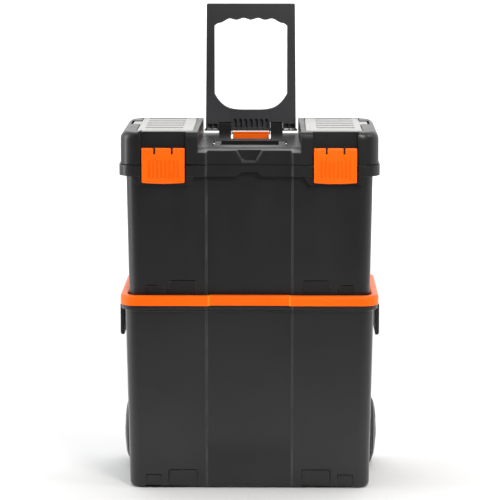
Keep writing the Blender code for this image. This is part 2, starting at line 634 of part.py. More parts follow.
def build():
    clear_scene()
    make_lower_bin()
    make_orange_rim()
    rod("axle", (WHEEL_Y, WHEEL_RADIUS), AXLE_RADIUS, -0.2188, 0.2188, "bright_steel")
    make_upper_body()
    make_tool_tray()
    make_lid()
    make_tow_handle()
    make_carry_handle()
    for side, label in ((-1, "left"), (1, "right")):
        make_side_grip(side, label)
        make_wheel(side, label)
        make_latch(side, label)
        make_organiser_cover(side, label)
        make_dividers(side, label)
        x = side * LID_HINGE_X
        rod("lid_hinge_pin_" + label, LID_AXIS, 0.0016, x - 0.0195, x + 0.0195, "bright_steel", sides=16)


build()
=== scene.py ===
"""Looks for the rolling tool box: detailed shells, latches, covers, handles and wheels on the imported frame."""

import json
import math

import bmesh
import bpy
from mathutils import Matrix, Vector


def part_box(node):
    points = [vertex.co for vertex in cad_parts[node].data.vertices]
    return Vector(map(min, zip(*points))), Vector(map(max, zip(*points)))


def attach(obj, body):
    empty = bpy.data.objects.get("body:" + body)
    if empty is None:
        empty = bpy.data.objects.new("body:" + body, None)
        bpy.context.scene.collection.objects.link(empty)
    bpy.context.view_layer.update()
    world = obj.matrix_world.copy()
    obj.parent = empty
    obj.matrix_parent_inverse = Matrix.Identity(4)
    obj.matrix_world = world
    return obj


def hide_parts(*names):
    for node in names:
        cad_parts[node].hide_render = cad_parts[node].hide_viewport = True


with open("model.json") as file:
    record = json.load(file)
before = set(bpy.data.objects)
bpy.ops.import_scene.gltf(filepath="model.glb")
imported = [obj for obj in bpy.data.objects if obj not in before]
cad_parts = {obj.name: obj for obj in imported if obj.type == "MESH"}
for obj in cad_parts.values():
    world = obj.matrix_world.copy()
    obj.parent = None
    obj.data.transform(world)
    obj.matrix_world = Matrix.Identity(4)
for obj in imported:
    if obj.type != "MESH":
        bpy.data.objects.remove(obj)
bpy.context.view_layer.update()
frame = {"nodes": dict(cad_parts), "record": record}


# ---------------------------------------------------------------- node helpers

def new_material(name, roughness=0.5, metallic=0.0, specular=0.5):
    """A material with a Principled shader; returns (material, nodes, links, shader)."""
    made = bpy.data.materials.new(name)
    made.use_nodes = True
    nodes, links = made.node_tree.nodes, made.node_tree.links
    shader = nodes["Principled BSDF"]
    shader.inputs["Roughness"].default_value = roughness
    shader.inputs["Metallic"].default_value = metallic
    shader.inputs["Specular IOR Level"].default_value = specular
    return made, nodes, links, shader


def noise(nodes, links, scale, detail=3.0, roughness=0.5, stretch=(1.0, 1.0, 1.0)):
    """A noise factor in object space, optionally stretched."""
    place = nodes.new("ShaderNodeTexCoord")
    mapping = nodes.new("ShaderNodeMapping")
    mapping.inputs["Scale"].default_value = stretch
    texture = nodes.new("ShaderNodeTexNoise")
    texture.inputs["Scale"].default_value = scale
    texture.inputs["Detail"].default_value = detail
    texture.inputs["Roughness"].default_value = roughness
    links.new(place.outputs["Object"], mapping.inputs["Vector"])
    links.new(mapping.outputs["Vector"], texture.inputs["Vector"])
    return texture.outputs["Fac"]


def spread(nodes, links, value, low, high, start=0.3, end=0.7):
    """A factor mapped from start..end to low..high."""
    node = nodes.new("ShaderNodeMapRange")
    node.inputs["From Min"].default_value = start
    node.inputs["From Max"].default_value = end
    node.inputs["To Min"].default_value = low
    node.inputs["To Max"].default_value = high
    links.new(value, node.inputs["Value"])
    return node.outputs["Result"]


def two_tone(nodes, links, value, dark, light):
    """A colour between two tones."""
    node = nodes.new("ShaderNodeMix")
    node.data_type = "RGBA"
    node.inputs["A"].default_value = (*dark, 1.0)
    node.inputs["B"].default_value = (*light, 1.0)
    links.new(value, node.inputs["Factor"])
    return node.outputs["Result"]


def bump(nodes, links, height, distance, strength=1.0, under=None):
    """A bump normal from a height, laid over another normal if one is given."""
    node = nodes.new("ShaderNodeBump")
    node.inputs["Distance"].default_value = distance
    node.inputs["Strength"].default_value = strength
    links.new(height, node.inputs["Height"])
    if under:
        links.new(under, node.inputs["Normal"])
    return node.outputs["Normal"]


# ---------------------------------------------------------------- materials

COVER_GROOVES = (-0.048, -0.007, 0.031, 0.070, 0.109)
GROOVE_HALF = 0.0048


def painted_ridge_highlight(nodes, links, tone, centre, half, highlight_tone):
    """A painted highlight: a tone made paler, in patches, along the two upright edges of the recessed front panel.
    """
    place = nodes.new("ShaderNodeTexCoord")
    split = nodes.new("ShaderNodeSeparateXYZ")
    links.new(place.outputs["Object"], split.inputs["Vector"])
    out = nodes.new("ShaderNodeMath")
    out.operation = "ABSOLUTE"
    links.new(split.outputs["X"], out.inputs[0])
    band = nodes.new("ShaderNodeMath")
    band.operation = "COMPARE"
    band.inputs[1].default_value = centre
    band.inputs[2].default_value = half
    links.new(out.outputs["Value"], band.inputs[0])
    front = nodes.new("ShaderNodeMath")
    front.operation = "LESS_THAN"
    front.inputs[1].default_value = -0.112
    links.new(split.outputs["Y"], front.inputs[0])
    there = nodes.new("ShaderNodeMath")
    there.operation = "MULTIPLY"
    links.new(band.outputs["Value"], there.inputs[0])
    links.new(front.outputs["Value"], there.inputs[1])
    patchy = nodes.new("ShaderNodeMath")
    patchy.operation = "MULTIPLY"
    links.new(there.outputs["Value"], patchy.inputs[0])
    links.new(spread(nodes, links, noise(nodes, links, 40.0), 0.45, 1.0), patchy.inputs[1])
    over = nodes.new("ShaderNodeMix")
    over.data_type = "RGBA"
    over.inputs["B"].default_value = (*highlight_tone, 1.0)
    links.new(patchy.outputs["Value"], over.inputs["Factor"])
    links.new(tone, over.inputs["A"])
    return over.outputs["Result"]


def painted_bounce_below(nodes, links, tone, low, high, gain):
    """Painted bounce light: a tone multiplied by gain at height low, fading to itself at height high."""
    place = nodes.new("ShaderNodeTexCoord")
    split = nodes.new("ShaderNodeSeparateXYZ")
    links.new(place.outputs["Object"], split.inputs["Vector"])
    lift = nodes.new("ShaderNodeVectorMath")
    lift.operation = "SCALE"
    links.new(tone, lift.inputs[0])
    links.new(spread(nodes, links, split.outputs["Z"], gain, 1.0, low, high), lift.inputs["Scale"])
    return lift.outputs["Vector"]


def moulded_plastic(name, dark, light, rough, specular=0.5, grain=0.00003, flow=0.10, painted_bounce_foot=None,
                    ridge_highlight=None):
    """Moulded plastic: fine grain, slow tone drift, faint flow marks, and, if given, painted bounce light towards
    the foot and a painted highlight along the front panel's upright edges.
    """
    made, nodes, links, shader = new_material(name, specular=specular)
    drift = noise(nodes, links, 7.0, detail=2.0)
    speck = noise(nodes, links, 900.0, detail=2.0, roughness=0.6)
    streak = noise(nodes, links, 26.0, detail=3.0, stretch=(1.0, 1.0, 0.25))
    tone = two_tone(nodes, links, spread(nodes, links, drift, 0.0, 1.0), dark, light)
    # painted bounce light: the tone made lighter towards the foot
    if painted_bounce_foot:
        tone = painted_bounce_below(nodes, links, tone, *painted_bounce_foot)
    # painted highlight: paler patches along the recessed front panel's upright edges
    if ridge_highlight:
        tone = painted_ridge_highlight(nodes, links, tone, *ridge_highlight)
    links.new(tone, shader.inputs["Base Color"])
    mixed = nodes.new("ShaderNodeMath")
    mixed.operation = "MULTIPLY"
    links.new(spread(nodes, links, streak, 1.0 - flow, 1.0 + flow), mixed.inputs[0])
    links.new(spread(nodes, links, speck, rough[0], rough[1]), mixed.inputs[1])
    links.new(mixed.outputs["Value"], shader.inputs["Roughness"])
    slow = bump(nodes, links, drift, 0.0006, 0.35)
    links.new(bump(nodes, links, speck, grain, 1.0, under=slow), shader.inputs["Normal"])
    return made


def painted_groove_shade(nodes, links, centres, half):
    """A mask for painted shade: 1 in the covers' cross grooves, each 2 * half wide, and 0 elsewhere."""
    place = nodes.new("ShaderNodeTexCoord")
    split = nodes.new("ShaderNodeSeparateXYZ")
    links.new(place.outputs["Object"], split.inputs["Vector"])
    total = None
    for centre in centres:
        near = nodes.new("ShaderNodeMath")
        near.operation = "COMPARE"
        near.inputs[1].default_value = centre
        near.inputs[2].default_value = half
        links.new(split.outputs["Y"], near.inputs[0])
        if total is None:
            total = near.outputs["Value"]
            continue
        both = nodes.new("ShaderNodeMath")
        both.operation = "MAXIMUM"
        links.new(total, both.inputs[0])
        links.new(near.outputs["Value"], both.inputs[1])
        total = both.outputs["Value"]
    out = nodes.new("ShaderNodeMath")
    out.operation = "ABSOLUTE"
    links.new(split.outputs["X"], out.inputs[0])
    inside = nodes.new("ShaderNodeMath")
    inside.operation = "COMPARE"
    inside.inputs[1].default_value = 0.1490
    inside.inputs[2].default_value = 0.0330
    links.new(out.outputs["Value"], inside.inputs[0])
    kept = nodes.new("ShaderNodeMath")
    kept.operation = "MULTIPLY"
    links.new(total, kept.inputs[0])
    links.new(inside.outputs["Value"], kept.inputs[1])
    return kept.outputs["Value"]


def clear_plastic(name):
    """Frosted cover plastic: milky and partly see-through, with faint haze, matt in its cross grooves, which carry
    painted shade as a dark tone.
    """
    made, nodes, links, shader = new_material(name, roughness=0.22)
    haze = noise(nodes, links, 18.0, detail=4.0)
    groove_shade = painted_groove_shade(nodes, links, COVER_GROOVES, GROOVE_HALF)
    cloud = spread(nodes, links, haze, 0.0, 1.0)
    milky = two_tone(nodes, links, cloud, (0.42, 0.412, 0.400), (0.46, 0.452, 0.440))
    # painted shade: the cross grooves are coloured dark
    over = nodes.new("ShaderNodeMix")
    over.data_type = "RGBA"
    over.inputs["B"].default_value = (0.10, 0.10, 0.10, 1.0)
    links.new(groove_shade, over.inputs["Factor"])
    links.new(milky, over.inputs["A"])
    links.new(over.outputs["Result"], shader.inputs["Base Color"])
    links.new(spread(nodes, links, groove_shade, 0.30, 0.85, 0.0, 1.0), shader.inputs["Roughness"])
    links.new(spread(nodes, links, groove_shade, 0.40, 0.02, 0.0, 1.0), shader.inputs["Specular IOR Level"])
    shader.inputs["Alpha"].default_value = 0.62
    grain = noise(nodes, links, 500.0, detail=1.0)
    links.new(bump(nodes, links, grain, 0.00003), shader.inputs["Normal"])
    return made


def tyre_rubber(name):
    """Matt rubber with a dusty tread."""
    made, nodes, links, shader = new_material(name, roughness=0.8, specular=0.3)
    dust = noise(nodes, links, 60.0, detail=5.0, roughness=0.65)
    links.new(two_tone(nodes, links, spread(nodes, links, dust, 0.0, 1.0, 0.4, 0.75), (0.012, 0.012, 0.013),
                       (0.035, 0.034, 0.033)), shader.inputs["Base Color"])
    links.new(spread(nodes, links, dust, 0.68, 0.92), shader.inputs["Roughness"])
    links.new(bump(nodes, links, noise(nodes, links, 700.0), 0.00006), shader.inputs["Normal"])
    return made


def drawn_steel(name):
    """Bright drawn rod: fine lengthwise scratches, slight tarnish."""
    made, nodes, links, shader = new_material(name, roughness=0.28, metallic=1.0)
    scratch = noise(nodes, links, 900.0, detail=3.0, stretch=(0.02, 1.0, 1.0))
    tarnish = noise(nodes, links, 40.0, detail=4.0)
    patches = spread(nodes, links, tarnish, 0.0, 1.0)
    tone = two_tone(nodes, links, patches, (0.50, 0.50, 0.51), (0.70, 0.70, 0.70))
    links.new(tone, shader.inputs["Base Color"])
    links.new(spread(nodes, links, scratch, 0.20, 0.38), shader.inputs["Roughness"])
    links.new(bump(nodes, links, scratch, 0.00002), shader.inputs["Normal"])
    return made


# black plastic with a painted highlight along the upright edges of the recessed front panels
BLACK = moulded_plastic(
    "black_body_plastic", (0.0060, 0.0060, 0.0064), (0.0090, 0.0088, 0.0094), (0.30, 0.41), 0.32,
    ridge_highlight=(0.0740, 0.0021, (0.034, 0.034, 0.035)),
)
# handle plastic with painted bounce light, twice as light at its foot
HANDLE_BLACK = moulded_plastic(
    "handle_plastic", (0.0165, 0.0165, 0.0190), (0.0215, 0.0215, 0.0245), (0.34, 0.46), 0.36,
    painted_bounce_foot=(0.60, 0.74, 2.0),
)
# orange plastic with a painted highlight along the rim's recessed panel edges
ORANGE = moulded_plastic(
    "orange_plastic", (0.78, 0.098, 0.001), (0.86, 0.122, 0.002), (0.30, 0.42), 0.14,
    grain=0.00002, ridge_highlight=(0.0700, 0.0020, (0.95, 0.21, 0.008)),
)
GREY = moulded_plastic("grey_plastic", (0.05, 0.05, 0.053), (0.065, 0.065, 0.07), (0.42, 0.55), 0.4)
CLEAR = clear_plastic("frosted_clear_plastic")
RUBBER = tyre_rubber("tyre_rubber")
STEEL = drawn_steel("drawn_steel")
SLOT_FINISH = {
    "black_plastic": BLACK, "orange_plastic": ORANGE, "clear_plastic": CLEAR, "tyre_rubber": RUBBER,
    "bright_steel": STEEL, "grey_plastic": GREY,
}


def finish_cad_nodes():
    """Every CAD node that stays on show takes the detailed material of its slot."""
    slots = {part["node"]: part["material_slot"] for part in frame["record"]["subparts"]}
    for name, obj in frame["nodes"].items():
        obj.data.materials.clear()
        obj.data.materials.append(SLOT_FINISH[slots[name]])


# ---------------------------------------------------------------- levels and sizes, in metres, as packed

CENTRE_Y = -0.004
PARTING = 0.569
PANEL_DEPTH = 0.005
BODY_PANEL = (0.0718, 0.0762)
LID_PANEL = (0.0700, 0.0740)
ROD_Y = 0.112
ROD_Z = 0.606
WHEEL_Y = 0.071
WHEEL_Z = 0.065
LATCH_X = 0.147
LATCH_PIN = (-0.1318, 0.5945)
LID_HINGE = (0.1317, 0.5695)
EAR_X = 0.140
COVER_PIN = (0.0985, 0.6235)
CARRY_PIN_Y = -0.020
CARRY_PIN_Z = 0.5925
TROUGH_FLOOR = 0.599
CHANNEL_HALF = 0.0358
POST_OUTER = 0.057
SIDES = ((-1, "left"), (1, "right"))

bin_low, bin_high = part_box("lower_bin")
rim_low, rim_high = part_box("orange_rim")
tub_low, tub_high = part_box("upper_body")
lid_low, lid_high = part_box("lid")
handle_low, handle_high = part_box("tow_handle")


# ---------------------------------------------------------------- mesh helpers

def mesh_object(name, bm):
    """A smooth-shaded object from a bmesh built in place."""
    bmesh.ops.recalc_face_normals(bm, faces=bm.faces)
    mesh = bpy.data.meshes.new(name)
    bm.to_mesh(mesh)
    bm.free()
    mesh.shade_smooth()
    obj = bpy.data.objects.new(name, mesh)
    bpy.context.scene.collection.objects.link(obj)
    return obj


def loft(name, rings, closed=False):
    """A skin through rings of (x, y, z) points, capped at both ends or joined end to start."""
    bm = bmesh.new()
    rows = [[bm.verts.new(point) for point in ring] for ring in rings]
    count = len(rows[0])
    pairs = list(zip(rows, rows[1:]))
    if closed:
        pairs.append((rows[-1], rows[0]))
    for low, high in pairs:
        for i in range(count):
            j = (i + 1) % count
            bm.faces.new((low[i], low[j], high[j], high[i]))
    if not closed:
        bm.faces.new(list(reversed(rows[0])))
        bm.faces.new(rows[-1])
    return mesh_object(name, bm)


def ease(share):
    """A share of 0 to 1, eased at both ends."""
    share = min(max(share, 0.0), 1.0)
    return share * share * (3 - 2 * share)


def outline(half_x, front, back, radius, panel=0.0, panel_x=BODY_PANEL, steps=10):
    """A rounded rectangle seen from above, with an eased recess in its front side."""
    corners = (
        (-half_x + radius, front + radius, 180), (half_x - radius, front + radius, 270),
        (half_x - radius, back - radius, 0), (-half_x + radius, back - radius, 90),
    )
    inner, outer = panel_x
    wall = [(outer + (inner - outer) * s / 4, front + panel * ease(s / 4)) for s in range(5)]
    points = []
    for index, (x, y, start) in enumerate(corners):
        for step in range(steps + 1):
            angle = math.radians(start + 90 * step / steps)
            points.append((x + radius * math.cos(angle), y + radius * math.sin(angle)))
        if index == 0:
            points += [(-x, y) for x, y in wall]
            points += list(reversed(wall))
    return points


def ring(half, inset, z, radius=0.022, panel=0.0, panel_x=BODY_PANEL):
    """One loft ring: an outline round CENTRE_Y for a (half_x, half_y) pair, moved in by inset."""
    front, back = CENTRE_Y - half[1] + inset, CENTRE_Y + half[1] - inset
    flat = outline(half[0] - inset, front, back, max(radius - inset, 0.003), panel, panel_x)
    return [(x, y, z) for x, y in flat]


def prism(name, points, axis, start, end):
    """A 2D outline extruded along an axis: (y, z) for X, (x, z) for Y, (x, y) for Z."""
    place = {
        "X": lambda a, b, depth: (depth, a, b),
        "Y": lambda a, b, depth: (a, depth, b),
        "Z": lambda a, b, depth: (a, b, depth),
    }[axis]
    return loft(name, [[place(a, b, depth) for a, b in points] for depth in (start, end)])


def block(name, low, high):
    """A box between two corners."""
    flat = [(low[0], low[1]), (high[0], low[1]), (high[0], high[1]), (low[0], high[1])]
    return prism(name, flat, "Z", low[2], high[2])


def disc(centre, radius, sides=32):
    """The outline of a circle."""
    turns = [2 * math.pi * i / sides for i in range(sides)]
    return [(centre[0] + radius * math.cos(t), centre[1] + radius * math.sin(t)) for t in turns]


def rod(name, centre, radius, start, end, sides=32):
    """A round bar along X through a (y, z) point."""
    return prism(name, disc(centre, radius, sides), "X", start, end)


def span(side, near, far):
    """The X range from near to far on one side of the middle, lowest first."""
    return sorted((side * near, side * far))


def rounded(points, radius, steps=4):
    """A 2D outline with each corner replaced by an arc-like curve."""
    result = []
    count = len(points)
    for i, corner in enumerate(points):
        corner = Vector(corner)
        before = Vector(points[i - 1]) - corner
        after = Vector(points[(i + 1) % count]) - corner
        reach = min(radius, before.length * 0.45, after.length * 0.45)
        start = corner + before.normalized() * reach
        end = corner + after.normalized() * reach
        for step in range(steps + 1):
            t = step / steps
            point = start * (1 - t) ** 2 + corner * 2 * t * (1 - t) + end * t * t
            result.append((point.x, point.y))
    return result


def sunk(name, points, mouth, floor, slope=0.0022):
    """A cutter along Y for a shallow pocket whose walls slope in from mouth to floor."""
    middle_x = sum(x for x, _ in points) / len(points)
    middle_z = sum(z for _, z in points) / len(points)
    wide = [(x + math.copysign(slope, x - middle_x), z + math.copysign(slope, z - middle_z))
            for x, z in points]
    flats = ((mouth - 0.02, wide), (mouth, wide), (floor, points))
    return loft(name, [[(x, y, z) for x, z in rounded(flat, 0.0030)] for y, flat in flats])


def shape(obj, joins=(), cuts=(), keep=(), bevel=0.0007, segments=2, limit=38):
    """Applies unions, cuts and intersections, then rounds the sharp edges."""
    for operation, helpers in (("UNION", joins), ("DIFFERENCE", cuts), ("INTERSECT", keep)):
        for helper in helpers:
            change = obj.modifiers.new("join", "BOOLEAN")
            change.operation = operation
            change.object = helper
    if bevel:
        edge = obj.modifiers.new("edges", "BEVEL")
        edge.width = bevel
        edge.segments = segments
        edge.limit_method = "ANGLE"
        edge.angle_limit = math.radians(limit)
        edge.use_clamp_overlap = False
        obj.modifiers.new("normals", "WEIGHTED_NORMAL").keep_sharp = True
    bpy.context.view_layer.update()
    seen = obj.evaluated_get(bpy.context.evaluated_depsgraph_get())
    mesh = bpy.data.meshes.new_from_object(seen)
    obj.modifiers.clear()
    obj.data = mesh
    for helper in (*joins, *cuts, *keep):
        bpy.data.objects.remove(helper, do_unlink=True)
    return obj


def place(obj, finish, slot, body, *nodes):
    """Gives a finished piece its material and body, and hides the CAD nodes it stands for; the slot argument is
    not used.
    """
    obj.data.materials.clear()
    obj.data.materials.append(finish)
    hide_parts(*nodes)
    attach(obj, body)


# ---------------------------------------------------------------- lower bin

def bin_half(z):
    """The bin wall's half width and half depth at height z."""
    share = z / 0.325
    return (0.2092 + 0.0060 * share, 0.1150 + 0.0040 * share)


def panel_fade(z):
    """How deep the bin's front panel is sunk at height z."""
    return PANEL_DEPTH * ease((z - 0.015) / 0.075)


def wheel_well(name, side, grow):
    """A cutter for the space round a wheel, open below, behind and at the side."""
    radius = 0.071 + grow
    turns = [math.radians(180 - 7.5 * i) for i in range(13)]
    arch = [(WHEEL_Y + radius * math.cos(a), WHEEL_Z + radius * math.sin(a)) for a in turns]
    arch += [(CENTRE_Y + 0.16, WHEEL_Z + radius), (CENTRE_Y + 0.16, -0.01), (WHEEL_Y - radius, -0.01)]
    start, end = span(side, 0.181 - grow, 0.26)
    return prism(name, arch, "X", start, end)


def bin_moulding():
    """The deep tub: rolled foot, recessed front that fades out, wheel wells, axle channel, stiff flange."""
    foot = [math.radians(15 * i) for i in range(7)]
    rim_half = (rim_high.x, 0.130)
    rings = []
    for a in foot:
        z = 0.0085 * (1 - math.cos(a))
        rings.append(ring(bin_half(z), 0.0085 * (1 - math.sin(a)), z))
    for z in (0.020, 0.032, 0.045, 0.058, 0.071, 0.084, 0.100, 0.3145):
        rings.append(ring(bin_half(z), 0, z, panel=panel_fade(z)))
    rings.append(ring(rim_half, 0.0062, 0.3172, 0.030, PANEL_DEPTH))
    rings.append(ring(rim_half, 0.0018, 0.3180, 0.030, PANEL_DEPTH))
    rings.append(ring(rim_half, 0.0018, 0.3250, 0.030, PANEL_DEPTH))
    tub = loft("bin_moulding", rings)
    inner = []
    for z, inset in ((0.004, 0.009), (0.036, 0.0075), (0.040, 0.0028), (0.1, 0.0028), (0.3212, 0.0028)):
        inner.append(ring(bin_half(z), inset, z, panel=panel_fade(z)))
    for z in (0.3214, 0.34):
        inner.append(ring(rim_half, 0.0085, z, 0.028, PANEL_DEPTH))
    cavity = loft("cavity", inner)
    grown = [wheel_well("well", side, 0.003) for side, _ in SIDES]
    channel = block("channel", (-0.181, WHEEL_Y - 0.018, -0.01), (0.181, WHEEL_Y + 0.018, 0.083))
    shape(cavity, cuts=[*grown, channel], bevel=0)
    cuts = [cavity]
    cuts += [wheel_well("well", side, 0.0) for side, _ in SIDES]
    cuts.append(block("channel", (-0.166, WHEEL_Y - 0.015, -0.01), (0.166, WHEEL_Y + 0.015, 0.080)))
    cuts.append(rod("bore", (WHEEL_Y, WHEEL_Z), 0.0054, -0.2, 0.2))
    for side, _ in SIDES:
        for near, far, top in ((0.092, 0.140, 0.031), (0.1545, 0.1795, 0.022)):
            low, high = span(side, near, far)
            pocket = [(low, -0.02), (high, -0.02), (high - 0.001, top), (low + 0.001, top)]
            cuts.append(sunk("pocket", pocket, -0.1192, -0.1170))
        low, high = span(side, 0.030, 0.155)
        cuts.append(block("sole", (low, -0.100, -0.01), (high, 0.035, 0.0012)))
    back = rounded([(-0.135, 0.155), (0.135, 0.155), (0.138, 0.300), (-0.138, 0.300)], 0.010)
    cuts.append(prism("back_panel", back, "Y", 0.1138, 0.15))
    shape(tub, cuts=cuts, bevel=0.0007)
    place(tub, BLACK, "black_plastic", "bin", "lower_bin")


def rim_moulding():
    """The coloured collar: soft top edge, inner ledge, and a fine split line across each side."""
    half = (rim_high.x, 0.130)
    corner = [math.radians(15 * i) for i in range(7)]
    profile = [(0.0004, 0.3254), (0.0, 0.3262)]
    profile += [(0.0048 * (1 - math.cos(a)), 0.3378 + 0.0050 * math.sin(a)) for a in corner]
    profile += [(0.0112, 0.3427), (0.0128, 0.3418), (0.0135, 0.3402), (0.0135, 0.3243), (0.0250, 0.3243)]
    profile += [(0.0250, 0.3216), (0.0089, 0.3216), (0.0089, 0.3254)]
    rings = [ring(half, inset, z, 0.030, PANEL_DEPTH, (0.0670, 0.0712)) for inset, z in profile]
    rim = loft("rim_moulding", rings, closed=True)
    cuts = []
    for side, _ in SIDES:
        low, high = span(side, 0.205, 0.23)
        cuts.append(block("split", (low, -0.0408, 0.3395), (high, -0.0396, 0.35)))
    shape(rim, cuts=cuts, bevel=0.0004, limit=50)
    place(rim, ORANGE, "orange_plastic", "bin", "orange_rim")


def side_grip(side, label):
    """The lifting grip: a plate hung from the flange, with a rolled foot and four grip lines."""
    low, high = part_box("side_grip_" + label)
    outer = max(abs(low.x), abs(high.x))
    profile = [
        (0.2163, 0.3177), (0.2163, 0.3130), (outer - 0.0065, 0.3130), (outer - 0.0069, 0.2620),
        (outer - 0.0015, 0.2620), (outer, 0.2655), (outer, 0.3150), (outer - 0.0020, 0.3177),
    ]
    grip = prism(f"side_grip_{label}_moulding", [(side * x, z) for x, z in profile], "Y", low.y, high.y)
    cuts = []
    for row in range(4):
        z = 0.272 + 0.0085 * row
        x_low, x_high = span(side, outer - 0.0007, outer + 0.01)
        cuts.append(block("grip_line", (x_low, -0.045, z), (x_high, 0.045, z + 0.0035)))
    shape(grip, cuts=cuts, bevel=0.0007)
    place(grip, BLACK, "black_plastic", "bin", "side_grip_" + label)


# ---------------------------------------------------------------- wheels

def turned(name, profile, side, sides, relief=None):
    """(x, radius) points turned about the axle; relief(x, radius, turn) moves a point in or out."""
    rings = []
    for x, radius in profile:
        points = []
        for i in range(sides):
            turn = 2 * math.pi * i / sides
            dx, dr = relief(x, radius, turn) if relief else (0.0, 0.0)
            y = WHEEL_Y + (radius + dr) * math.cos(turn)
            z = WHEEL_Z + (radius + dr) * math.sin(turn)
            points.append((side * (x + dx), y, z))
        rings.append(points)
    return loft(name, rings, closed=True)


def tread(x, radius, turn):
    """Shoulder blocks: every other strip near the tyre's edges sits lower."""
    pitch = (turn * 24 / math.pi) % 2.0
    shoulder = x < 0.1955 or x > 0.2100
    low = 0.3 < pitch < 0.9 and shoulder and radius > 0.0605
    return (0.0, -0.0016 if low else 0.0)


def spokes(x, radius, turn):
    """Six shallow windows pressed into the wheel cover."""
    phase = math.cos(3 * turn) ** 2
    inside = ease((radius - 0.017) / 0.004) * ease((0.043 - radius) / 0.004)
    return (-0.0016 * inside * ease((phase - 0.25) / 0.2), 0.0)


def wheel(side, label):
    """A wheel: grooved tyre, hub with lightening holes, and domed cover."""
    body = "wheel_" + label
    top = 0.0650
    profile = [(0.1870, 0.0500), (0.1870, 0.0605), (0.1878, 0.0630), (0.1895, 0.0645), (0.1910, top)]
    for groove in (0.1965, 0.2025, 0.2085):
        profile += [(groove - 0.0012, top), (groove - 0.0008, top - 0.0014), (groove + 0.0008, top - 0.0014)]
        profile += [(groove + 0.0012, top)]
    profile += [(0.2130, top), (0.2150, 0.0643), (0.2172, 0.0622), (0.2185, 0.0600), (0.2198, 0.0565)]
    profile += [(0.2200, 0.0545), (0.2200, 0.0500)]
    tyre = turned(f"tyre_{label}_tread", profile, side, 240, tread)
    shape(tyre, bevel=0)
    place(tyre, RUBBER, "tyre_rubber", body, "wheel_tyre_" + label)

    profile = [(0.1860, 0.0054), (0.1860, 0.0146), (0.1864, 0.0150), (0.1900, 0.0150), (0.1908, 0.0160)]
    profile += [(0.1908, 0.0480), (0.1896, 0.0485), (0.1896, 0.0497), (0.2200, 0.0497), (0.2200, 0.0440)]
    profile += [(0.2120, 0.0400), (0.2120, 0.0150), (0.2190, 0.0120), (0.2190, 0.0054)]
    hub = turned(f"hub_{label}_moulding", profile, side, 96)
    cuts = []
    for i in range(8):
        turn = 2 * math.pi * (i + 0.5) / 8
        centre = (WHEEL_Y + 0.032 * math.cos(turn), WHEEL_Z + 0.032 * math.sin(turn))
        start, end = span(side, 0.185, 0.1935)
        cuts.append(prism("lightening", disc(centre, 0.0075, 24), "X", start, end))
    shape(hub, cuts=cuts, bevel=0.0004)
    place(hub, GREY, "grey_plastic", body, "wheel_hub_" + label)

    profile = [(0.2204, 0.0001), (0.2204, 0.0532), (0.2208, 0.0535), (0.2214, 0.0528), (0.2220, 0.0512)]
    profile += [(0.2228, 0.0498), (0.2226, 0.0486), (0.2226, 0.0478), (0.2234, 0.0472)]
    for i in range(10):
        radius = 0.0455 - 0.0034 * i
        profile.append((0.2280 - 0.0040 * (radius / 0.047) ** 2, radius))
    profile += [(0.2276, 0.0120), (0.2270, 0.0114), (0.2272, 0.0106), (0.2280, 0.0100), (0.2280, 0.0001)]
    cover = turned(f"wheel_cover_{label}_dome", profile, side, 144, spokes)
    shape(cover, bevel=0)
    place(cover, BLACK, "black_plastic", body, "wheel_cover_" + label)


# ---------------------------------------------------------------- upper tool box

def tub_half(z):
    """The tub wall's half width and half depth at height z."""
    share = (z - 0.3246) / 0.2419
    return (0.2084 + 0.0039 * share, 0.1142 + 0.0033 * share)


